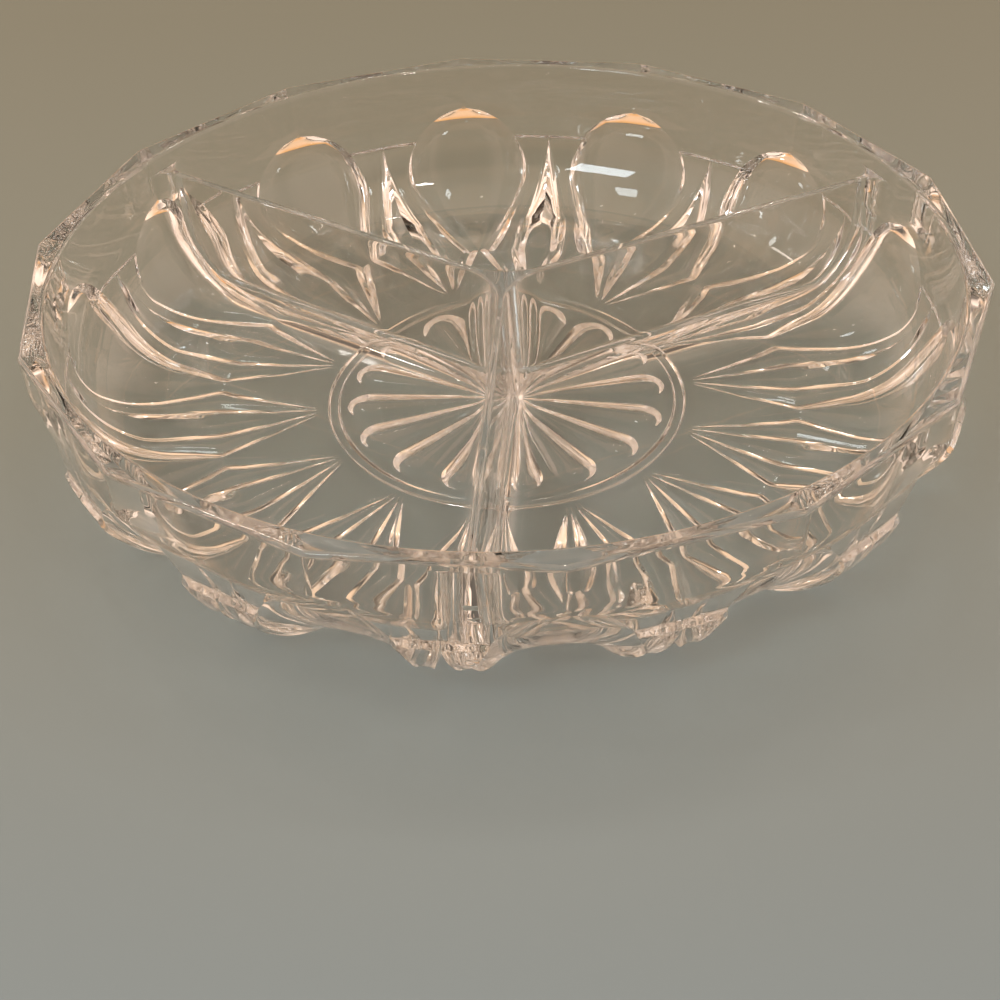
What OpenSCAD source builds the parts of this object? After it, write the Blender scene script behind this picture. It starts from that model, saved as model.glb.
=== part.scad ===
// Three-part relish tray of clear pressed glass, in millimetres.
// The real tray is one moulding. Its nodes are the features of that moulding, and they meet face to face.
// The origin is the centre of the plane that the tray stands on, +Z is up and the front is -Y.

/* [Tray] */
// Overall height, from the table to the rim
tray_h = 44; // [40:1:52]
// Radius of the round inner edge of the rim
rim_r = 110; // [106:1:118]
// Thickness of the rim at the middle of a flat panel
rim_t = 4.4; // [3.4:0.2:6]
// Number of flat panels round the rim, with one fan of the pattern under each
panel_count = 14; // [12:1:16]
// Turn of the first fan about the vertical axis, in degrees
panel_turn = 4.8; // [0:0.1:25]
// Lean of a flat panel towards the table, in degrees from upright
panel_lean = 5; // [3:0.5:6]
// Height of the faceted band from its lower edge to the rim
band_h = 11; // [9:0.5:12]

/* [Bowl] */
// Thickness of the flat floor between its top and its underside
floor_t = 5.2; // [4.6:0.1:7]
// Height of the foot ring and the fans' ridges below the underside of the floor
stand_h = 1.4; // [1:0.1:2]
// Lean of the smooth inner wall, in degrees from upright
wall_lean = 5; // [3:0.5:7]
// Radius of the smooth cove between the floor and the inner wall
cove_r = 22; // [18:1:25]
// How far the bowl stands out past the inner edge of the rim at its widest
wall_out = 3.3; // [2:0.1:4]
// Radius of the bowl's outer corner, seen in section
corner_r = 26; // [24:1:29]

/* [Scoops and fans] */
// Distance from the centre to the inner tip of a thumbprint scoop, as a share of the rim's radius
scoop_tip_share = 0.668; // [0.64:0.002:0.71]
// Height of the top of a scoop's round end
scoop_top_z = 29.6; // [26:0.2:32]
// Width of a scoop at its round end, as a share of the distance between two scoops
scoop_share = 0.66; // [0.55:0.01:0.68]
// Depth of a scoop at its round end
scoop_depth = 4.2; // [2:0.1:4.6]
// Distance from the centre to the inner tip of a fan, as a share of the rim's radius
fan_tip_share = 0.441; // [0.43:0.01:0.5]
// Height of the line where the fans end on the wall
fan_top_z = 20.6; // [18:0.2:25]
// Half width of a fan at its inner tip
fan_tip_half_w = 1.8; // [1.2:0.1:2.4]
// Half width of the groove along the middle of a fan
groove_half_w = 5.4; // [3:0.1:6]
// Depth of the valley that the groove deepens to round the outer corner
groove_depth = 3.4; // [0:0.2:3.8]
// Width of each side of the four ridges of a fan
flank_w = 2.4; // [0.8:0.1:2.8]
// Length over which a ridge rises at its inner tip
ridge_rise = 12; // [6:1:16]
// Depth of the two outer flutes of a fan between their ridges, as a share of the ridges' height
flute_share = 0.85; // [0:0.05:1]

/* [Foot ring and rosette] */
// Outer radius of the foot ring, as a share of the rim's radius
ring_share = 0.4145; // [0.405:0.001:0.42]
// Width of the foot ring
ring_w = 3.1; // [2.4:0.1:4]
// Number of petals in the rosette
petal_count = 16; // [12:1:20]
// Turn of the rosette about the vertical axis, in degrees
petal_turn = 4; // [0:0.5:22]
// Distance from the centre to the round end of a petal, as a share of the rim's radius
petal_len_share = 0.369; // [0.32:0.002:0.375]
// Width of a petal at its round end, as a share of the distance between two petals
petal_share = 0.815; // [0.6:0.01:0.85]
// Depth of a petal at its round end
petal_depth = 2.2; // [1:0.1:2.6]

/* [Dividers] */
// Distance from the rim down to the dividers' top edge
divider_drop = 4.5; // [3:0.5:10]
// Thickness of a divider at its top edge
divider_top_t = 1.9; // [1.5:0.1:3]
// Thickness of a divider at the floor, without its fillets
divider_base_t = 5; // [4:0.2:7]
// Radius of the fillets between a divider and the floor
divider_fillet_r = 5; // [3:0.5:6]
// Radius of the hub that the dividers meet in
hub_r = 9; // [8:0.5:12]
// Radius of the round core of the hub, at its top
hub_core_r = 2.6; // [1.8:0.2:4]
// Direction of the front divider, in degrees
front_divider_turn = 265.2; // [255:0.2:285]

/* [Hidden] */
$fn = 96;
// Overrun of every cut
cut = 1;
// Least half width of a scoop or a groove where its outline closes
close_w = 0.6;
// The same, for a petal of the rosette
petal_close_w = 0.3;
// How far the circle of a divider's fillet dips into the floor and the divider's side
fillet_dip = 0.12;
// Steps from the floor round the lower part of the outer corner
corner_steps = 5;
// Steps round the rest of the outer corner, and round each share of the cove
wall_steps = 3;
// Steps over the scoops' round ends
top_steps = 4;
// Width of the ledge that the fans end with on the wall
ledge_w = 1.3;
// Share of the cove's turn that the bowl's corner takes, below the side wall
corner_share = 0.5;
// Steps along a petal's straight sides and over its round end
petal_steps = 4;
petal_top_steps = 4;
glass = [0.86, 0.78, 0.72, 0.6];

// Levels and centres of the arcs
floor_z = stand_h + floor_t;
band_z = tray_h - band_h;
wall_r = rim_r + wall_out;
corner_x = wall_r - corner_r;
corner_z = stand_h + corner_r;
cove_z = floor_z + cove_r;
// The cove touches the leaning inner wall
cove_x = rim_r - (tray_h - cove_z) * tan(wall_lean) - cove_r / cos(wall_lean);
divider_top_z = tray_h - divider_drop;
divider_h = divider_top_z - floor_z;
divider_taper = (divider_base_t - divider_top_t) / 2;
divider_lean = atan(divider_taper / divider_h);
half_pitch = 180 / panel_count;
panel_r = rim_r + rim_t;

// Radii of the pattern, which follow the rim
scoop_tip_r = rim_r * scoop_tip_share;
scoop_r = wall_r * half_pitch * PI / 180 * scoop_share;
fan_tip_r = rim_r * fan_tip_share;
ring_r = rim_r * ring_share;
petal_len = rim_r * petal_len_share;
petal_r = petal_share * (petal_len * PI / petal_count) / (1 + petal_share * PI / petal_count);
// Number of dividers, and of the stretches that the wall is made in
divider_count = 3;
divider_pitch = 360 / divider_count;

// Lengths along the underside and the wall, counted from the tip of a scoop
quarter = PI / 2 * corner_r;
flat_len = corner_x - scoop_tip_r;
fan_tip_s = fan_tip_r - scoop_tip_r;
fan_top_s = flat_len + corner_r * acos((corner_z - fan_top_z) / corner_r) * PI / 180;
band_s = flat_len + quarter + band_z - corner_z;
scoop_len = flat_len + quarter + scoop_top_z - corner_z;
corner_s = flat_len + corner_share * quarter;
groove_taper_share = 0.4;
// Length over which the valley of a groove runs out below the top of its fan
groove_fade = 12;
groove_taper_s = fan_top_s * groove_taper_share;
// Place round the corner where the outer flutes of a fan come level with their ridges
flute_end_s = flat_len + 0.75 * quarter;
// Half width of a fan where it touches its neighbours, at the tips of the scoops
fan_touch_w = scoop_tip_r * half_pitch * PI / 180 - close_w;

// Half width of a teardrop outline at a distance s from its tip: two straight sides and a round end
function teardrop_w(s, length, r) =
    let (centre = length - r, slope = asin(r / centre))
    s <= 0 || s >= length ? 0
    : s < centre - r * sin(slope) ? s * tan(slope)
    : sqrt(r * r - (s - centre) * (s - centre));

// Depth of a scooped teardrop on its centre line, like a cone that ends in a shallow bowl
function teardrop_depth(s, length, r, depth) =
    let (share = teardrop_w(s, length, r) / r)
    depth * (s < length - r ? share : share * share);

// Share of a scoop's depth at a share of its half width from the centre line
function bowl_share(side_share) = 1 - side_share * side_share;

// Place on the smooth outer profile: [radius, height, outward radius, outward height]
function profile(s) =
    let (turn = (s - flat_len) / corner_r * 180 / PI)
    s < flat_len ? [scoop_tip_r + s, stand_h, 0, -1]
    : s < flat_len + quarter
    ? [corner_x + corner_r * sin(turn), corner_z - corner_r * cos(turn), sin(turn), -cos(turn)]
    : [wall_r, s - flat_len - quarter + corner_z, 1, 0];

// Radius of the bowl at a turn from a panel's middle: round low down, and flat panels higher up
function panel_at(z, turn) = (panel_r - (tray_h - z) * tan(panel_lean)) / cos(turn);
function outer_r(r, z, turn) =
    z < corner_z ? min(r, panel_at(z, turn))
    : min(r + (z - corner_z) / (band_z - corner_z) * (panel_r / cos(half_pitch) - r), panel_at(z, turn));

// Turn that spans a width at a radius
function span(w, r) = w / r * 180 / PI;

// How far a fan has opened between its inner tip and the scoops' tips, from 0 to 1
function fan_share(s) = max(0, min(1, 1 - s / fan_tip_s));

// Half widths of a scoop and of the groove in a fan, at a distance s along the profile
function scoop_w(s) = max(close_w, teardrop_w(s, scoop_len, scoop_r));
function groove_w(s) =
    s < groove_taper_s
    ? fan_tip_half_w / 3 + (groove_half_w - fan_tip_half_w / 3) * fan_share(s)
    : max(close_w, groove_half_w * (fan_top_s - s) / (fan_top_s - groove_taper_s));

// How far a fan's ridges and the flutes beside them stand out, and how deep the valley of its groove is
function ridge_h(s) = s > fan_top_s ? 0 : stand_h * max(0, min(1, (s - fan_tip_s) / ridge_rise));
function flute_h(s) = ridge_h(s) * (1 - max(0, min(flute_share, 1 - s / flute_end_s)));
function valley_h(s) = groove_depth * max(0, min(1, s / flat_len, (fan_top_s - s) / groove_fade));

// Columns of half a pitch: [turn from the fan's middle, how far the surface stands out there]
function half_columns(s) =
    let (
        r = profile(s)[0],
        opened_w = fan_tip_half_w + (fan_touch_w - fan_tip_half_w) * fan_share(s),
        edge = s < 0 ? span(opened_w, r) : half_pitch - span(scoop_w(s), r),
        groove = span(groove_w(s), r),
        flank = min(span(flank_w, r), (edge - groove) / 4, groove / 2),
        out = ridge_h(s),
        flute = flute_h(s),
        depth = teardrop_depth(s, scoop_len, scoop_r, scoop_depth),
        rest = half_pitch - edge
    )
    [
        [0, -valley_h(s)],
        [groove - flank, -valley_h(s) * flank / groove],
        [groove, out],
        [groove + flank, flute],
        [edge - 2 * flank, flute],
        [edge - flank, out],
        [edge, 0],
        for (side_share = [2 / 3, 1 / 3, 0]) [half_pitch - rest * side_share, -depth * bowl_share(side_share)]
    ];

// One full pitch, from the middle of one fan up to the next
function columns(s) =
    let (half = half_columns(s), last = len(half) - 1)
    concat(
        half,
        [for (i = [last - 1 : -1 : 1]) [2 * half_pitch - half[i][0], half[i][1]]]
    );

// Columns of all pitches from one fan's middle up to another's: [turn about the axis, turn in half a pitch, out]
function all_columns(s, from, to) =
    let (pitch = columns(s))
    [for (k = [from : to]) for (i = [0 : k < to ? len(pitch) - 1 : 0])
        let (c = pitch[i])
        [panel_turn + k * 2 * half_pitch + c[0], c[0] > half_pitch ? 2 * half_pitch - c[0] : c[0], c[1]]
    ];

// Row of points round the outer surface at a distance s along the profile, from one fan's middle to another's
function outer_row(s, from, to) =
    let (place = profile(s))
    [for (c = all_columns(s, from, to))
        let (r = outer_r(place[0], place[1], c[1]) + c[2] * place[2])
        [r * cos(c[0]), r * sin(c[0]), place[1] + c[2] * place[3]]
    ];

// Row of points at a fixed radius and height, with the same turns as the outer row at a distance s
function plain_row(s, r, z, from, to) =
    [for (c = all_columns(s, from, to)) [r * cos(c[0]), r * sin(c[0]), z]];

// The row of a full round without its last point, which repeats the first
function round_of(row) = [for (i = [0 : len(row) - 2]) row[i]];

// Two triangles between each point of a row and the next, up to the next row, and from the last row to the first
function row_faces(n, m, last) =
    [for (i = [0 : m - 1]) for (j = [0 : last])
        let (row = i * n, next_row = (i + 1) % m * n, next = (j + 1) % n)
        each [
            [row + j, row + next, next_row + next],
            [row + j, next_row + next, next_row + j]
        ]
    ];

// Closed solid through full rings of equal length
module ring_solid(rings) {
    n = len(rings[0]);
    polyhedron([for (ring = rings) each ring], row_faces(n, len(rings), n - 1));
}

// Closed solid through rows of equal length, with a flat face at each end of the rows
module row_solid(rows) {
    n = len(rows[0]);
    m = len(rows);
    ends = [[for (i = [0 : m - 1]) i * n], [for (i = [m - 1 : -1 : 0]) i * n + n - 1]];
    polyhedron([for (row = rows) each row], concat(row_faces(n, m, n - 2), ends));
}

// Smooth space inside the bowl, from the floor up past the rim
module cavity() {
    rotate_extrude() {
        translate([0, floor_z]) square([cove_x, tray_h + cut - floor_z]);
        intersection() {
            translate([cove_x, cove_z]) circle(cove_r);
            translate([0, floor_z]) square([cove_x + cove_r, cove_r]);
        }
        polygon([
            [0, cove_z],
            [cove_x, cove_z],
            [cove_x + cove_r * cos(wall_lean), cove_z - cove_r * sin(wall_lean)],
            [rim_r + cut * tan(wall_lean), tray_h + cut],
            [0, tray_h + cut]
        ]);
    }
}

// Radius of the inner wall at a height above the cove's tangent point
function inner_r(z) = rim_r - (tray_h - z) * tan(wall_lean);

module rim_band() {
    color(glass) difference() {
        translate([0, 0, band_z]) cylinder(r = panel_r / cos(half_pitch) + cut, h = band_h);
        cavity();
        for (k = [0 : panel_count - 1])
            rotate(panel_turn + k * 2 * half_pitch)
                translate([panel_r, 0, tray_h])
                    rotate([0, panel_lean, 0])
                        translate([0, -panel_r, -2 * band_h]) cube([panel_r, 2 * panel_r, 3 * band_h]);
    }
}

// Stretch of the bowl's wall between two stations on the outside and two shares of the cove's turn inside.
// Round the tray it is one of as many stretches as there are dividers, and each ends in the middle of a fan.
module wall_stretch(stretch, stations, from_share, to_share, to_band) {
    from = ceil(stretch * panel_count / divider_count);
    to = ceil((stretch + 1) * panel_count / divider_count);
    first = stations[0];
    last = stations[len(stations) - 1];
    inner_rows = [for (i = [0 : wall_steps])
        let (
            turn = (90 - wall_lean) * (to_share + (from_share - to_share) * i / wall_steps),
            s = last + (first - last) * i / wall_steps
        )
        plain_row(s, cove_x + cove_r * sin(turn), cove_z - cove_r * cos(turn), from, to)
    ];
    color(glass) row_solid(concat(
        [for (s = stations) outer_row(s, from, to)],
        to_band ? [plain_row(last, inner_r(band_z), band_z, from, to)] : [],
        inner_rows
    ));
}

module side_wall(stretch) {
    fans_len = fan_top_s - ledge_w / 2 - corner_s;
    top_len = scoop_len - fan_top_s;
    // Rest of the fans, the ledge at their top, the scoops' round ends and the faceted band
    stations = concat(
        [for (i = [0 : wall_steps]) corner_s + fans_len * i / wall_steps],
        [fan_top_s + ledge_w / 2],
        [for (i = [1 : top_steps]) fan_top_s + top_len * bowl_share(1 - i / top_steps)],
        [band_s]
    );
    wall_stretch(stretch, stations, corner_share, 1, true);
}

module bowl_corner(stretch) {
    first = cove_x - scoop_tip_r;
    stations = [for (i = [0 : corner_steps]) first + (corner_s - first) * i / corner_steps];
    wall_stretch(stretch, stations, 0, corner_share, false);
}

module floor() {
    first = ring_r - ring_w - scoop_tip_r;
    last = cove_x - scoop_tip_r;
    stations = [first, fan_tip_s, fan_tip_s + ridge_rise, 0, last / 2, last];
    inner_rows = [
        plain_row(last, cove_x, floor_z, 0, panel_count),
        plain_row(first, ring_r - ring_w, floor_z, 0, panel_count)
    ];
    rows = concat([for (s = stations) outer_row(s, 0, panel_count)], inner_rows);
    color(glass) ring_solid([for (row = rows) round_of(row)]);
}

module foot_ring() {
    color(glass) difference() {
        cylinder(r = ring_r, h = stand_h);
        translate([0, 0, -cut]) cylinder(r = ring_r - ring_w, h = stand_h + 2 * cut);
    }
}

// Ring of points round the underside of the rosette, at a radius r
function rosette_ring(r) =
    let (
        pitch = 360 / petal_count,
        w = span(max(petal_close_w, teardrop_w(r, petal_len, petal_r)), r),
        depth = teardrop_depth(r, petal_len, petal_r, petal_depth),
        half = [
            for (side_share = [0, 1 / 3, 2 / 3, 1]) [w * side_share, depth * bowl_share(side_share)],
            [pitch / 2, 0]
        ],
        turns = concat(half, [for (i = [len(half) - 2 : -1 : 1]) [pitch - half[i][0], half[i][1]]])
    )
    [for (k = [0 : petal_count - 1]) for (c = turns)
        let (a = petal_turn + k * pitch + c[0]) [r * cos(a), r * sin(a), stand_h + c[1]]
    ];

module rosette() {
    edge_r = ring_r - ring_w;
    swell_r = petal_len - petal_r;
    radii = concat(
        [for (i = [1 : petal_steps]) swell_r * i / petal_steps],
        [for (i = [1 : petal_top_steps]) swell_r + petal_r * bowl_share(1 - i / petal_top_steps)],
        [edge_r]
    );
    rings = concat(
        [for (r = radii) rosette_ring(r)],
        [[for (p = rosette_ring(edge_r)) [p[0], p[1], floor_z]]]
    );
    n = len(rings[0]);
    m = len(rings);
    faces = concat(
        [[for (j = [n - 1 : -1 : 0]) j], [for (j = [0 : n - 1]) (m - 1) * n + j]],
        [for (i = [0 : m - 2]) for (j = [0 : n - 1])
            let (a = i * n + j, b = i * n + (j + 1) % n, c = b + n, d = a + n) each [[a, b, c], [a, c, d]]
        ]
    );
    color(glass) polyhedron([for (ring = rings) each ring], faces);
}

// Section across a divider: tapered sides and a fillet on each side of its foot
module divider_section() {
    foot_half_w = divider_base_t / 2;
    // Centre of a fillet's circle, which dips a little below the floor and into the leaning side
    fillet_z = divider_fillet_r - fillet_dip;
    fillet_x = foot_half_w - fillet_z * tan(divider_lean) + fillet_z;
    polygon([
        [-foot_half_w, 0], [foot_half_w, 0],
        [divider_top_t / 2, divider_h], [-divider_top_t / 2, divider_h]
    ]);
    for (side = [0, 1]) mirror([side, 0])
        difference() {
            square([fillet_x, fillet_z]);
            translate([fillet_x, fillet_z]) circle(divider_fillet_r);
        }
}

// Stretch of a divider that runs out from the tray's axis, between two radii
module divider_run(from_r, to_r) {
    translate([from_r, 0, floor_z]) rotate([90, 0, 90]) linear_extrude(to_r - from_r) divider_section();
}

// One divider, from the hub to the wall; the cavity's seam is turned away from it
module divider(turn) {
    color(glass) rotate(turn) intersection() {
        divider_run(hub_r, rim_r);
        rotate(90) cavity();
    }
}

module divider_hub() {
    color(glass) rotate(front_divider_turn) union() {
        for (k = [0 : divider_count - 1]) rotate(k * divider_pitch) divider_run(0, hub_r);
        translate([0, 0, floor_z]) cylinder(r1 = hub_core_r + divider_taper, r2 = hub_core_r, h = divider_h);
    }
}

module side_wall_back() { side_wall(0); }
module side_wall_left() { side_wall(1); }
module side_wall_right() { side_wall(2); }
module bowl_corner_back() { bowl_corner(0); }
module bowl_corner_left() { bowl_corner(1); }
module bowl_corner_right() { bowl_corner(2); }
module divider_front() { divider(front_divider_turn); }
module divider_left() { divider(front_divider_turn - divider_pitch); }
module divider_right() { divider(front_divider_turn + divider_pitch); }

rim_band();
side_wall_back();
side_wall_left();
side_wall_right();
bowl_corner_back();
bowl_corner_left();
bowl_corner_right();
floor();
foot_ring();
rosette();
divider_hub();
divider_front();
divider_left();
divider_right();
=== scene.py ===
"""Three-part relish tray of clear pressed glass on a plain table.

The tray is one piece of glass. Its mesh is made the way the real one is pressed: a patterned blank,
from which three smooth cups and the round space above the dividers are taken.
"""

from math import acos, asin, cos, hypot, pi, radians, sin, sqrt, tan

import bmesh
import bpy
import numpy as np
from mathutils import Matrix, Vector


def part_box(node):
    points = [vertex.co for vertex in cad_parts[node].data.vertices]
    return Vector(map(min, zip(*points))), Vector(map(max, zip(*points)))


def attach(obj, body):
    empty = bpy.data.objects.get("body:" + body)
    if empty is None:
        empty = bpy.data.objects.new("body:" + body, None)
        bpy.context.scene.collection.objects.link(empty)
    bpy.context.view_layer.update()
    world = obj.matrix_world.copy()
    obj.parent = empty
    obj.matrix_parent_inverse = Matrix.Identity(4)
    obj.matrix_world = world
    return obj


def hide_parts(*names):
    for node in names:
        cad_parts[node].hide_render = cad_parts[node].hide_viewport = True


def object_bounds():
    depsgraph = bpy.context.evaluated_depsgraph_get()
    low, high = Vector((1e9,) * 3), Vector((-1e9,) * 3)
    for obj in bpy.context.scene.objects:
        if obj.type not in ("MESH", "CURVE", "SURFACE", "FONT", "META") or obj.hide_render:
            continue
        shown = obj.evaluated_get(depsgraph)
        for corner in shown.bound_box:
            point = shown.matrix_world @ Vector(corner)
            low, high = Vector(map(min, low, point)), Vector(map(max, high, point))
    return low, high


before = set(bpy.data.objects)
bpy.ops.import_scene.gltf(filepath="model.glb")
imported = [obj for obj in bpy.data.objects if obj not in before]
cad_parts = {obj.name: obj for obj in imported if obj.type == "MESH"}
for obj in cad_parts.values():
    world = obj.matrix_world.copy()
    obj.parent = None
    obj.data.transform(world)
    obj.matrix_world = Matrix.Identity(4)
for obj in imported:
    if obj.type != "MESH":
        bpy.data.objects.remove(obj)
cad_low, cad_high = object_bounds()

MM = 0.001

# Levels and radii that the frame gives
TRAY_H = cad_high[2]
BAND_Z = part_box("rim_band")[0][2]
STAND_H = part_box("foot_ring")[1][2]
RING_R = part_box("foot_ring")[1][0]
FLOOR_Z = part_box("divider_hub")[0][2]
DIVIDER_TOP_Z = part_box("divider_hub")[1][2]

# Rim
RIM_R = 110 * MM
RIM_T = 4.4 * MM
PANEL_COUNT = 14
PANEL_TURN = radians(4.8)
PANEL_LEAN = radians(5)
PANEL_R = RIM_R + RIM_T
HALF_PITCH = pi / PANEL_COUNT
EDGE_SOFTNESS = 0.22 * MM
LIP_R = 1.3 * MM

# Bowl
WALL_LEAN = radians(5)
COVE_R = 22 * MM
WALL_R = 113.3 * MM
CORNER_R = 26 * MM
CORNER_X = WALL_R - CORNER_R
CORNER_Z = STAND_H + CORNER_R
COVE_Z = FLOOR_Z + COVE_R
COVE_X = RIM_R - (TRAY_H - COVE_Z) * tan(WALL_LEAN) - COVE_R / cos(WALL_LEAN)

# Scoops and fans
SCOOP_TIP_R = 73.5 * MM
SCOOP_LEN = 56.9 * MM
SCOOP_R = 16.8 * MM
SCOOP_DEPTH = 4.2 * MM
SCOOP_END_POWER = 4
SCOOP_SIDE_POWER = 3
FAN_TIP_R = 48.5 * MM
FAN_TOP_Z = 20.6 * MM
FAN_TIP_HALF_W = 1.8 * MM
GROOVE_HALF_W = 5.4 * MM
GROOVE_TIP_HALF_W = FAN_TIP_HALF_W / 3
GROOVE_DEPTH = 3.4 * MM
FLANK_W = 2.4 * MM
LEDGE_W = 1.3 * MM
RIDGE_RISE = 12 * MM
RIDGE_STRAIGHT_SHARE = 0.6
FLUTE_SHARE = 0.85
FLUTE_END_SHARE = 0.75
GROOVE_TAPER_SHARE = 0.4
GROOVE_END_LEN = 8 * MM
CLOSE_W = 0.3 * MM

# Foot ring and rosette
RING_W = 3.1 * MM
RING_FLANK = 0.7 * MM
PETAL_COUNT = 16
PETAL_TURN = radians(4)
PETAL_LEN = 40.6 * MM
PETAL_R = 5.6 * MM
PETAL_DEPTH = 2.6 * MM
PETAL_START_R = 1.2 * MM
PETAL_MARGIN = 0.5 * MM
PETAL_PITCH_SHARE = 0.9

# Dividers
DIVIDER_COUNT = 3
HALF_SECTOR = pi / DIVIDER_COUNT
DIVIDER_TOP_T = 1.9 * MM
DIVIDER_BASE_T = 5 * MM
DIVIDER_FILLET_R = 5 * MM
DIVIDER_NOSE_SHARE = 0.45
DIVIDER_NOSE_R = DIVIDER_TOP_T * DIVIDER_NOSE_SHARE
FRONT_DIVIDER_TURN = radians(265.2)
CUP_CORNER_R = 8 * MM
CUP_WALL_CORNER_R = 5 * MM

# Lengths along the underside and the wall, counted from the tip of a scoop
QUARTER = pi / 2 * CORNER_R
FLAT_LEN = CORNER_X - SCOOP_TIP_R
FAN_TIP_S = FAN_TIP_R - SCOOP_TIP_R
FAN_TOP_S = FLAT_LEN + CORNER_R * acos((CORNER_Z - FAN_TOP_Z) / CORNER_R)
BAND_S = FLAT_LEN + QUARTER + BAND_Z - CORNER_Z
GROOVE_TAPER_S = FAN_TOP_S * GROOVE_TAPER_SHARE
FLUTE_END_S = FLAT_LEN + FLUTE_END_SHARE * QUARTER
FAN_TOUCH_W = SCOOP_TIP_R * HALF_PITCH - CLOSE_W


def smooth(share):
    share = np.clip(share, 0, 1)
    return share * share * (3 - 2 * share)


def soft_min(a, b):
    """The lesser of two lengths, with a small round where they cross."""
    low = np.minimum(a, b)
    return low - EDGE_SOFTNESS * np.log1p(np.exp(-np.abs(a - b) / EDGE_SOFTNESS))


def teardrop_w(s, length, r):
    """Half width of a teardrop outline at a distance s from its tip: two straight sides and a round end."""
    centre = length - r
    slope = asin(r / centre)
    straight = s * tan(slope)
    round_end = np.sqrt(np.maximum(r * r - (s - centre) ** 2, 0))
    w = np.where(s < centre - r * sin(slope), straight, round_end)
    return np.where((s <= 0) | (s >= length), 0, w)


def teardrop_depth(s, length, r, depth):
    """Depth along the middle of a teardrop: it grows with the width, and its round end is steep."""
    share = teardrop_w(s, length, r) / r
    past_middle = np.clip((s - length + r) / r, 0, 1)
    return depth * np.where(s < length - r, share, 1 - past_middle ** SCOOP_END_POWER)


def profile(s):
    """Place and outward direction on the smooth outer profile, each as a radius and a height."""
    turn = (s - FLAT_LEN) / CORNER_R
    if s < FLAT_LEN:
        return SCOOP_TIP_R + s, STAND_H, 0, -1
    if s < FLAT_LEN + QUARTER:
        return CORNER_X + CORNER_R * sin(turn), CORNER_Z - CORNER_R * cos(turn), sin(turn), -cos(turn)
    return WALL_R, s - FLAT_LEN - QUARTER + CORNER_Z, 1, 0


def panel_at(z, turn):
    """Radius of the flat panels at a height, with softly rounded edges between them."""
    apothem = PANEL_R - (TRAY_H - z) * tan(PANEL_LEAN)
    return soft_min(apothem / np.cos(turn), apothem / np.cos(2 * HALF_PITCH - turn))


def outer_r(r, z, turn):
    """Radius of the outside: the smooth profile flares above the round corner and meets the flat panels."""
    if z < CORNER_Z:
        return soft_min(r, panel_at(z, turn))
    flare = (z - CORNER_Z) / (BAND_Z - CORNER_Z)
    return soft_min(r + flare * (PANEL_R / cos(HALF_PITCH) - r), panel_at(z, turn))


def fan_share(s):
    """How far a fan has opened between its inner tip and the scoops' tips."""
    return max(0, min(1, 1 - s / FAN_TIP_S))


def edge_turn(s, r):
    """Turn from a fan's middle to its edge."""
    if s < 0:
        return (FAN_TIP_HALF_W + (FAN_TOUCH_W - FAN_TIP_HALF_W) * fan_share(s)) / r
    return HALF_PITCH - max(CLOSE_W, float(teardrop_w(s, SCOOP_LEN, SCOOP_R))) / r


def groove_turn(s, r):
    """Turn from a fan's middle to the middle of the steep flank beside the groove."""
    if s < GROOVE_TAPER_S:
        return (GROOVE_TIP_HALF_W + (GROOVE_HALF_W - GROOVE_TIP_HALF_W) * fan_share(s)) / r
    return max(CLOSE_W, GROOVE_HALF_W * (FAN_TOP_S - s) / (FAN_TOP_S - GROOVE_TAPER_S)) / r


def groove_depth(s):
    """The groove deepens to a V round the outer corner and runs out at the top of the fan."""
    return GROOVE_DEPTH * float(smooth(s / FLAT_LEN) * smooth((FAN_TOP_S - s) / GROOVE_END_LEN))


def ridge_h(s):
    rise = max(0, min(1, (s - FAN_TIP_S) / RIDGE_RISE))
    return STAND_H * rise * float(smooth((FAN_TOP_S - s) / LEDGE_W + 0.5))


def flute_h(s):
    """Height of the flutes between the inner and the outer ridges of a fan."""
    return ridge_h(s) * (1 - max(0, min(FLUTE_SHARE, 1 - s / FLUTE_END_S)))


def tent(share):
    """Side of a ridge: 1 at its crest, 0 at its foot and beyond."""
    share = np.clip(share, 0, 1)
    return 1 - RIDGE_STRAIGHT_SHARE * share - (1 - RIDGE_STRAIGHT_SHARE) * smooth(share)


def spread(stops, counts):
    """Turns between the stops, with a given number of steps in each gap."""
    turns = [0.0]
    for start, end, count in zip(stops, stops[1:], counts):
        turns += [start + (end - start) * (i + 1) / count for i in range(count)]
    return np.array(turns)


SECTION_STEPS = (3, 4, 4, 3, 4, 4, 9)


def half_section(s, r):
    """Turns from a fan's middle to a scoop's middle, and how far the surface stands out at each."""
    edge = edge_turn(s, r)
    groove = groove_turn(s, r)
    flank = min(FLANK_W / r, (edge - groove) / 4, groove / 2)
    crest = edge - flank
    turns = spread(
        (0, groove - flank, groove, groove + flank, crest - flank, crest, edge, HALF_PITCH), SECTION_STEPS)
    depth = teardrop_depth(s, SCOOP_LEN, SCOOP_R, SCOOP_DEPTH)
    side_share = np.clip((HALF_PITCH - turns) / (HALF_PITCH - edge), 0, 1)
    scoop = -depth * (1 - side_share ** SCOOP_SIDE_POWER)
    ridge, flute = ridge_h(s), flute_h(s)
    valley = -groove_depth(s) * (1 - turns / groove) + ridge * tent((groove - turns) / flank)
    sides = flute + (ridge - flute) * (tent((turns - groove) / flank) + tent((crest - turns) / flank))
    outer = ridge * tent((turns - crest) / flank)
    fan = np.where(turns < groove, valley, np.where(turns < crest, sides, outer))
    return turns, np.where(turns < edge, fan, scoop)


def skin_ring(s):
    """Ring of points on the patterned outside at a distance s along the profile."""
    r, z, out_r, out_z = profile(s)
    turns, out = half_section(s, r)
    radius = outer_r(r, z, turns) + out * out_r
    height = z + out * out_z
    return full_ring(turns, radius, height)


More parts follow.
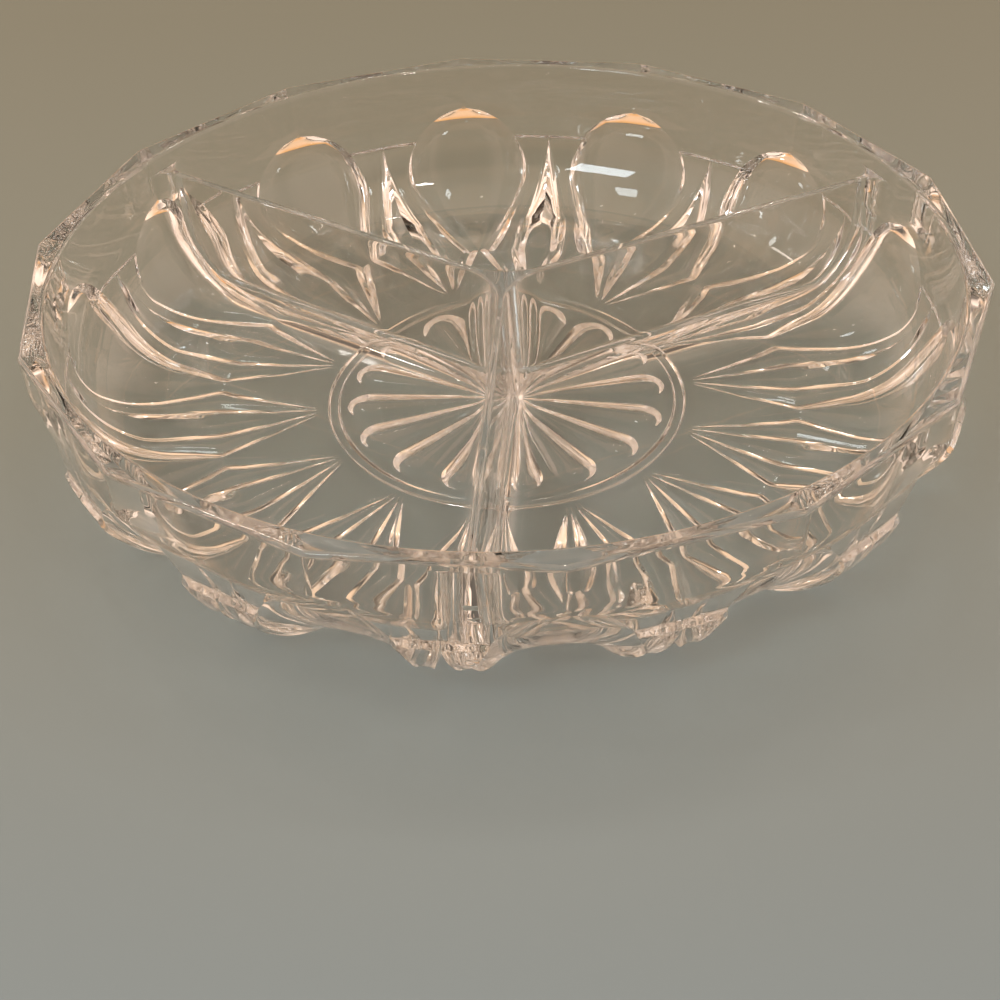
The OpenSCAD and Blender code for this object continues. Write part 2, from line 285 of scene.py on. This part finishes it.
def full_ring(turns, radius, height, count=PANEL_COUNT, first_turn=PANEL_TURN):
    """Mirror half a pitch of a pattern and repeat it round the tray."""
    half_pitch = pi / count
    turns = np.concatenate([turns, (2 * half_pitch - turns)[-2:0:-1]])
    radius = np.concatenate([radius, radius[-2:0:-1]])
    height = np.concatenate([height, height[-2:0:-1]])
    points = []
    for k in range(count):
        angles = first_turn + 2 * k * half_pitch + turns
        points += zip(radius * np.cos(angles), radius * np.sin(angles), height)
    return points


def ring_bead(r):
    """How far the foot ring stands below the floor at a radius."""
    inner = RING_R - RING_W
    return STAND_H * float(smooth((r - inner) / RING_FLANK) * smooth((RING_R - r) / RING_FLANK))


def bead_ring(r):
    turns, _ = half_section(r - SCOOP_TIP_R, r)
    return full_ring(turns, np.full_like(turns, r), np.full_like(turns, STAND_H - ring_bead(r)))


PETAL_STEPS = 8
RIB_STEPS = 3


def petal_ring(r):
    """Ring of points on the rosette of scooped petals."""
    half_pitch = pi / PETAL_COUNT
    w = max(CLOSE_W, float(teardrop_w(r, PETAL_LEN, PETAL_R))) / r
    w = min(w, half_pitch * PETAL_PITCH_SHARE)
    depth = float(teardrop_depth(r, PETAL_LEN, PETAL_R, PETAL_DEPTH))
    turns = spread((0, w, half_pitch), (PETAL_STEPS, RIB_STEPS))
    share = np.clip(turns / w, 0, 1)
    height = STAND_H + depth * (1 - share ** 2)
    return full_ring(turns, np.full_like(turns, r), height, PETAL_COUNT, PETAL_TURN)


def panel_ring(z, inset=0.0):
    """Ring of points on the panels at a height, moved inwards where the lip is round."""
    turns, _ = half_section(BAND_S, profile(BAND_S)[0])
    return full_ring(turns, panel_at(z, turns) - inset, np.full_like(turns, z))


class Shell:
    """Points and faces of a mesh that grows ring by ring."""

    def __init__(self):
        self.points = []
        self.faces = []

    def ring(self, points):
        first = len(self.points)
        self.points += points
        return list(range(first, first + len(points)))

    def join(self, low, high):
        count = len(low)
        for i in range(count):
            j = (i + 1) % count
            self.faces.append((low[i], low[j], high[j], high[i]))

    def rings(self, rows):
        rings = [self.ring(row) for row in rows]
        for low, high in zip(rings, rings[1:]):
            self.join(low, high)
        return rings

    def stitch(self, one, other):
        """Fill the gap between two rings of different counts with triangles, in order of their angle."""
        def by_angle(ring):
            angles = [float(np.mod(np.arctan2(self.points[i][1], self.points[i][0]), 2 * pi)) for i in ring]
            start = angles.index(min(angles))
            order = ring[start:] + ring[:start]
            turned = angles[start:] + angles[:start]
            return order + [order[0]], turned + [turned[0] + 2 * pi]

        a, a_turn = by_angle(one)
        b, b_turn = by_angle(other)
        i = j = 0
        while i < len(a) - 1 or j < len(b) - 1:
            if j == len(b) - 1 or (i < len(a) - 1 and a_turn[i + 1] <= b_turn[j + 1]):
                self.faces.append((a[i], a[i + 1], b[j]))
                i += 1
            else:
                self.faces.append((a[i], b[j + 1], b[j]))
                j += 1

    def cap(self, ring):
        self.faces.append(tuple(ring))

    def object(self, name):
        mesh = bpy.data.meshes.new(name)
        mesh.from_pydata([tuple(map(float, p)) for p in self.points], [], self.faces)
        work = bmesh.new()
        work.from_mesh(mesh)
        bmesh.ops.recalc_face_normals(work, faces=work.faces)
        work.to_mesh(mesh)
        work.free()
        made = bpy.data.objects.new(name, mesh)
        bpy.context.scene.collection.objects.link(made)
        return made


def stations(start, end, step):
    count = max(1, round((end - start) / step))
    return [start + (end - start) * i / count for i in range(count + 1)]


PETAL_LONG_STEP = 1.4 * MM
PETAL_END_STEP = 0.45 * MM
BEAD_STEP = 0.175 * MM
BEAD_MARGIN = 0.4 * MM
SKIN_STEP = 1.0 * MM
LEDGE_STEP = 0.26 * MM
WALL_STEP = 0.8 * MM
BAND_STEP = 1.5 * MM
BAND_MARGIN = 0.6 * MM
LIP_STEPS = 8


def blank():
    """The patterned outside of the tray, closed by a flat top."""
    shell = Shell()
    ring_in = RING_R - RING_W
    petal_radii = stations(PETAL_START_R, PETAL_LEN - PETAL_R, PETAL_LONG_STEP)
    petal_radii += stations(PETAL_LEN - PETAL_R, PETAL_LEN, PETAL_END_STEP)[1:] + [PETAL_LEN + PETAL_MARGIN]
    petals = shell.rings([petal_ring(r) for r in petal_radii])
    shell.cap(petals[0])
    bead_radii = stations(ring_in - BEAD_MARGIN, RING_R + BEAD_MARGIN, BEAD_STEP)
    bead = shell.rings([bead_ring(r) for r in bead_radii])
    shell.stitch(petals[-1], bead[0])
    skin_start = bead_radii[-1] - SCOOP_TIP_R + WALL_STEP
    rows = stations(skin_start, FAN_TOP_S - LEDGE_W, SKIN_STEP)
    rows += stations(FAN_TOP_S - LEDGE_W, FAN_TOP_S + LEDGE_W, LEDGE_STEP)[1:]
    rows += stations(FAN_TOP_S + LEDGE_W, BAND_S, WALL_STEP)[1:]
    skin = shell.rings([skin_ring(s) for s in rows])
    shell.join(bead[-1], skin[0])
    band_levels = stations(BAND_Z + BAND_MARGIN, TRAY_H - LIP_R, BAND_STEP)
    band = shell.rings([panel_ring(z) for z in band_levels])
    shell.join(skin[-1], band[0])
    lip = []
    for i in range(1, LIP_STEPS + 1):
        turn = pi / 2 * i / LIP_STEPS
        lip.append(panel_ring(TRAY_H - LIP_R + LIP_R * sin(turn), LIP_R * (1 - cos(turn))))
    edge = shell.rings(lip)
    shell.join(band[-1], edge[0])
    shell.cap(edge[-1])
    return shell.object("tray_glass")


def inner_r(z):
    """Radius of the smooth inner wall, or of the cove below it."""
    if z < COVE_Z - COVE_R * sin(WALL_LEAN):
        return COVE_X + sqrt(max(0, COVE_R ** 2 - (COVE_Z - z) ** 2))
    return RIM_R - (TRAY_H - z) * tan(WALL_LEAN)


def divider_half_w(z):
    """Half thickness of a divider at a height, with its fillet at the floor and a round top edge."""
    taper = (DIVIDER_BASE_T - DIVIDER_TOP_T) / 2
    w = DIVIDER_TOP_T / 2 + taper * (DIVIDER_TOP_Z - z) / (DIVIDER_TOP_Z - FLOOR_Z)
    up = z - FLOOR_Z
    if up < DIVIDER_FILLET_R:
        w += DIVIDER_FILLET_R - sqrt(DIVIDER_FILLET_R ** 2 - (DIVIDER_FILLET_R - up) ** 2)
    down = DIVIDER_TOP_Z - z
    if down < DIVIDER_NOSE_R:
        w -= DIVIDER_NOSE_R - sqrt(DIVIDER_NOSE_R ** 2 - (DIVIDER_NOSE_R - max(0, down)) ** 2)
    return w


def round_max(a, b, r):
    """The greater of two distances, with a round of radius r where both bind."""
    return min(-r, max(a, b)) + hypot(max(a + r, 0), max(b + r, 0))


CUP_TURNS = 300
CUP_LEVELS = 56
CUP_CENTRE_R = 58 * MM
CUP_REACH = 130 * MM
CUP_HALVINGS = 24
CUP_NOSE_STEPS = 6
CUP_OVERRUN = 1 * MM
CUP_DRAW_IN = 0.3 * MM


def cup_ring(middle_turn, z, shrink=0.0):
    """Ring of points on a cup at a height: two divider sides and the wall, with round corners."""
    centre = Vector((cos(middle_turn), sin(middle_turn))) * CUP_CENTRE_R
    wall = inner_r(z) - shrink
    side = divider_half_w(z) + shrink
    normals = [Vector((-sin(t), cos(t))) for t in (middle_turn - HALF_SECTOR, middle_turn + HALF_SECTOR)]
    normals[1] = -normals[1]

    def outside(point):
        first, second = (side - point.dot(n) for n in normals)
        sides = round_max(first, second, CUP_CORNER_R)
        return round_max(sides, point.length - wall, CUP_WALL_CORNER_R)

    ring = []
    for i in range(CUP_TURNS):
        turn = 2 * pi * i / CUP_TURNS
        way = Vector((cos(turn), sin(turn)))
        near, far = 0.0, CUP_REACH
        for _ in range(CUP_HALVINGS):
            reach = (near + far) / 2
            if outside(centre + way * reach) < 0:
                near = reach
            else:
                far = reach
        point = centre + way * near
        ring.append((point.x, point.y, z))
    return ring


def cup(name, middle_turn):
    """One compartment: rings from the floor up to just above the dividers."""
    shell = Shell()
    nose_z = DIVIDER_TOP_Z - DIVIDER_NOSE_R
    levels = [FLOOR_Z + (nose_z - FLOOR_Z) * (i / CUP_LEVELS) ** 2 for i in range(CUP_LEVELS + 1)]
    nose_turns = [pi / 2 * i / CUP_NOSE_STEPS for i in range(1, CUP_NOSE_STEPS + 1)]
    levels += [nose_z + DIVIDER_NOSE_R * sin(turn) for turn in nose_turns]
    rows = [cup_ring(middle_turn, z) for z in levels]
    top = cup_ring(middle_turn, DIVIDER_TOP_Z, CUP_DRAW_IN)
    rows.append([(x, y, DIVIDER_TOP_Z + CUP_OVERRUN) for x, y, z in top])
    rings = shell.rings(rows)
    shell.cap(rings[0])
    shell.cap(rings[-1])
    return shell.object(name)


ROUND_TURNS = 360
UPPER_STEP = 0.6 * MM
UPPER_CLEARANCE = 0.01 * MM
UPPER_OVERRUN = 2 * MM


def plain_ring(r, z):
    turns = [2 * pi * i / ROUND_TURNS for i in range(ROUND_TURNS)]
    return [(r * cos(turn), r * sin(turn), z) for turn in turns]


def upper_space():
    """The round space above the dividers, which rounds over the inner edge of the rim."""
    shell = Shell()
    levels = stations(DIVIDER_TOP_Z, TRAY_H - LIP_R, UPPER_STEP)
    rows = [plain_ring(inner_r(z) + UPPER_CLEARANCE, z) for z in levels]
    for i in range(1, LIP_STEPS + 1):
        turn = pi / 2 * i / LIP_STEPS
        z = TRAY_H - LIP_R + LIP_R * sin(turn)
        rows.append(plain_ring(inner_r(z) + UPPER_CLEARANCE + LIP_R * (1 - cos(turn)), z))
    rows.append(plain_ring(inner_r(TRAY_H) + UPPER_CLEARANCE + LIP_R, TRAY_H + UPPER_OVERRUN))
    rings = shell.rings(rows)
    shell.cap(rings[0])
    shell.cap(rings[-1])
    return shell.object("upper_space")


def take_away(body, tools):
    """Cut closed tools from a closed body and leave one clean mesh."""
    for tool in tools:
        cut = body.modifiers.new("cut", "BOOLEAN")
        cut.operation = "DIFFERENCE"
        cut.solver = "MANIFOLD"
        cut.object = tool
    graph = bpy.context.evaluated_depsgraph_get()
    mesh = bpy.data.meshes.new_from_object(body.evaluated_get(graph))
    body.modifiers.clear()
    body.data = mesh
    for tool in tools:
        tool_mesh = tool.data
        bpy.data.objects.remove(tool)
        bpy.data.meshes.remove(tool_mesh)


SHARP_TURN = radians(35)


def make_tray():
    tray = blank()
    middles = [FRONT_DIVIDER_TURN + HALF_SECTOR + i * 2 * HALF_SECTOR for i in range(DIVIDER_COUNT)]
    cups = [cup(f"cup_{i}", middle) for i, middle in enumerate(middles)]
    take_away(tray, cups + [upper_space()])
    tray.data.shade_smooth()
    tray.data.set_sharp_from_angle(angle=SHARP_TURN)
    weighted = tray.modifiers.new("weighted_normals", "WEIGHTED_NORMAL")
    weighted.keep_sharp = True
    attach(tray, "root")
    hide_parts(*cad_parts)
    tray.data.materials.clear()
    tray.data.materials.append(glass_material())


def node_tree(material):
    material.use_nodes = True
    tree = material.node_tree
    tree.nodes.clear()
    return tree, tree.nodes.new("ShaderNodeOutputMaterial")


GLASS_TINT = (0.945, 0.92, 0.885, 1)
GLASS_ROUGHNESS = 0.015
GLASS_IOR = 1.51
SHADOW_TINT = (0.66, 0.65, 0.65, 1)
WAVE_SCALE = 55
WAVE_DETAIL = 2
WAVE_STRENGTH = 0.12
WAVE_H = 0.6 * MM


def glass_material():
    """Clear glass with a faint wave on its surface. Light passes through it evenly to the table."""
    material = bpy.data.materials.new("pressed_glass")
    tree, output = node_tree(material)
    new, link = tree.nodes.new, tree.links.new
    shader = new("ShaderNodeBsdfPrincipled")
    shader.inputs["Base Color"].default_value = GLASS_TINT
    shader.inputs["Transmission Weight"].default_value = 1
    shader.inputs["Roughness"].default_value = GLASS_ROUGHNESS
    shader.inputs["IOR"].default_value = GLASS_IOR
    clear = new("ShaderNodeBsdfTransparent")
    clear.inputs["Color"].default_value = SHADOW_TINT
    path = new("ShaderNodeLightPath")
    mix = new("ShaderNodeMixShader")
    link(path.outputs["Is Shadow Ray"], mix.inputs["Fac"])
    link(shader.outputs["BSDF"], mix.inputs[1])
    link(clear.outputs["BSDF"], mix.inputs[2])
    link(mix.outputs["Shader"], output.inputs["Surface"])
    wave = new("ShaderNodeTexNoise")
    wave.inputs["Scale"].default_value = WAVE_SCALE
    wave.inputs["Detail"].default_value = WAVE_DETAIL
    place = new("ShaderNodeTexCoord")
    link(place.outputs["Object"], wave.inputs["Vector"])
    bump = new("ShaderNodeBump")
    bump.inputs["Strength"].default_value = WAVE_STRENGTH
    bump.inputs["Distance"].default_value = WAVE_H
    link(wave.outputs["Fac"], bump.inputs["Height"])
    link(bump.outputs["Normal"], shader.inputs["Normal"])
    return material


def set_ramp(ramp, stops):
    """Give a ramp its first and last stop and the ones between."""
    elements = ramp.color_ramp.elements
    elements[0].position, elements[0].color = stops[0]
    elements[1].position, elements[1].color = stops[-1]
    for level, colour in stops[1:-1]:
        elements.new(level).color = colour


TABLE_HALF_W = 20.0
TABLE_DROP = 0.4 * MM
TABLE_ROUGHNESS = 0.55
TABLE_FRONT_Y = -0.185
TABLE_BACK_Y = 0.255
# Table colour from front to back: the table's own greige tone with painted light in it, a cool painted
# light in front and a warmer, darker painted shade behind.
TABLE_TONE_AND_PAINTED_LIGHT_STOPS = (
    (0.0, (0.21, 0.27, 0.295, 1)),
    (0.42, (0.226, 0.252, 0.222, 1)),
    (1.0, (0.2, 0.217, 0.178, 1)),
)


def table_material():
    """Plain table whose own tone carries painted light: cooler and lighter in front for the window's cool
    light, warmer and darker behind as painted shade of the dim warm room.
    """
    material = bpy.data.materials.new("table")
    tree, output = node_tree(material)
    new, link = tree.nodes.new, tree.links.new
    shader = new("ShaderNodeBsdfPrincipled")
    shader.inputs["Roughness"].default_value = TABLE_ROUGHNESS
    link(shader.outputs["BSDF"], output.inputs["Surface"])
    place = new("ShaderNodeTexCoord")
    split = new("ShaderNodeSeparateXYZ")
    link(place.outputs["Object"], split.inputs["Vector"])
    across = new("ShaderNodeMapRange")
    across.inputs["From Min"].default_value = TABLE_FRONT_Y
    across.inputs["From Max"].default_value = TABLE_BACK_Y
    link(split.outputs["Y"], across.inputs["Value"])
    ramp = new("ShaderNodeValToRGB")
    link(across.outputs["Result"], ramp.inputs["Fac"])
    link(ramp.outputs["Color"], shader.inputs["Base Color"])
    set_ramp(ramp, TABLE_TONE_AND_PAINTED_LIGHT_STOPS)
    return material


def make_table():
    signs = ((-1, -1), (1, -1), (1, 1), (-1, 1))
    corners = [(x * TABLE_HALF_W, y * TABLE_HALF_W, -TABLE_DROP) for x, y in signs]
    mesh = bpy.data.meshes.new("table")
    mesh.from_pydata(corners, [], [(0, 1, 2, 3)])
    table = bpy.data.objects.new("table", mesh)
    bpy.context.scene.collection.objects.link(table)
    table.data.materials.append(table_material())


CAMERA_PLACE = (-0.00254, -0.39797, 0.27977)
CAMERA_RIGHT = (0.99945715, -0.02020539, -0.02602225)
CAMERA_UP = (0.03294564, 0.61296179, 0.78942538)
CAMERA_LENS = 68.05
CAMERA_CLIP = 0.01


def make_camera():
    """The camera stands where the photograph was taken."""
    camera = bpy.data.objects.new("camera", bpy.data.cameras.new("camera"))
    bpy.context.scene.collection.objects.link(camera)
    camera.data.lens = CAMERA_LENS
    camera.data.clip_start = CAMERA_CLIP
    right = Vector(CAMERA_RIGHT)
    up = Vector(CAMERA_UP)
    back = right.cross(up)
    turn = Matrix((right, up, back)).transposed()
    camera.matrix_world = Matrix.Translation(CAMERA_PLACE) @ turn.to_4x4()
    bpy.context.scene.camera = camera


def area_light(name, place, size, watts, colour):
    """A lamp that points at the tray."""
    lamp = bpy.data.lights.new(name, "AREA")
    lamp.shape = "RECTANGLE"
    lamp.size, lamp.size_y = size
    lamp.energy = watts
    lamp.color = colour
    light = bpy.data.objects.new(name, lamp)
    light.location = place
    light.rotation_euler = (-Vector(place)).to_track_quat("-Z", "Y").to_euler()
    bpy.context.scene.collection.objects.link(light)


ROOM_LIGHT = 1.1
BACK_LIGHT_SHARE = 0.45
ROOM_STOPS = (
    (0.0, (0.60, 0.29, 0.10, 1)),
    (0.2, (0.66, 0.40, 0.23, 1)),
    (0.42, (0.08, 0.065, 0.05, 1)),
    (0.68, (0.07, 0.06, 0.05, 1)),
    (0.8, (1.0, 0.68, 0.45, 1)),
    (1.0, (1.0, 0.71, 0.49, 1)),
)
SIDE_COLOUR = (1.15, 0.88, 0.72, 1)
# Squares of the sideways part of a direction, where the side light starts and where it is full
SIDE_START_SHARE = 0.06
SIDE_FULL_SHARE = 0.4


def make_world():
    """A warm room: bright above and at the sides, dark at middle height in front and behind."""
    world = bpy.data.worlds.new("room")
    bpy.context.scene.world = world
    world.use_nodes = True
    tree = world.node_tree
    tree.nodes.clear()
    new, link = tree.nodes.new, tree.links.new
    output = new("ShaderNodeOutputWorld")
    background = new("ShaderNodeBackground")
    place = new("ShaderNodeTexCoord")
    split = new("ShaderNodeSeparateXYZ")
    ramp = new("ShaderNodeValToRGB")
    link(place.outputs["Generated"], split.inputs["Vector"])
    link(split.outputs["Z"], ramp.inputs["Fac"])
    link(background.outputs["Background"], output.inputs["Surface"])
    set_ramp(ramp, ROOM_STOPS)
    square = new("ShaderNodeMath")
    square.operation = "MULTIPLY"
    link(split.outputs["X"], square.inputs[0])
    link(split.outputs["X"], square.inputs[1])
    sideways = new("ShaderNodeMapRange")
    sideways.interpolation_type = "SMOOTHSTEP"
    sideways.inputs["From Min"].default_value = SIDE_START_SHARE
    sideways.inputs["From Max"].default_value = SIDE_FULL_SHARE
    link(square.outputs["Value"], sideways.inputs["Value"])
    blend = new("ShaderNodeMix")
    blend.data_type = "RGBA"
    link(sideways.outputs["Result"], blend.inputs["Factor"])
    link(ramp.outputs["Color"], blend.inputs["A"])
    blend.inputs["B"].default_value = SIDE_COLOUR
    link(blend.outputs["Result"], background.inputs["Color"])
    facing = new("ShaderNodeMath")
    facing.operation = "MULTIPLY_ADD"
    facing.inputs[1].default_value = BACK_LIGHT_SHARE * ROOM_LIGHT
    facing.inputs[2].default_value = ROOM_LIGHT
    link(split.outputs["Y"], facing.inputs[0])
    link(facing.outputs["Value"], background.inputs["Strength"])


WINDOW_PLACE = (-0.55, -0.75, 1.1)
WINDOW_SIZE = (0.35, 0.28)
WINDOW_WATTS = 4.5
WINDOW_COLOUR = (0.80, 0.92, 1.0)
SPOT_PLACES = (
    (0.35, -0.45, 1.4),
    (0.55, 0.75, 1.3),
    (-0.5, 0.7, 1.3),
    (0.1, 0.9, 1.5),
    (-0.9, 0.1, 1.2),
)
SPOT_SIZE = (0.07, 0.07)
SPOT_WATTS = 0.9
SPOT_COLOUR = (1.0, 0.95, 0.9)


def make_lights():
    area_light("window", WINDOW_PLACE, WINDOW_SIZE, WINDOW_WATTS, WINDOW_COLOUR)
    for i, place in enumerate(SPOT_PLACES):
        area_light(f"spot_{i}", place, SPOT_SIZE, SPOT_WATTS, SPOT_COLOUR)


BOUNCES = 24
GLOSSY_BOUNCES = 12


def set_look():
    scene = bpy.context.scene
    scene.cycles.max_bounces = BOUNCES
    scene.cycles.transmission_bounces = BOUNCES
    scene.cycles.glossy_bounces = GLOSSY_BOUNCES
    scene.view_settings.view_transform = "Standard"


make_camera()
make_table()
make_tray()
make_world()
make_lights()
set_look()
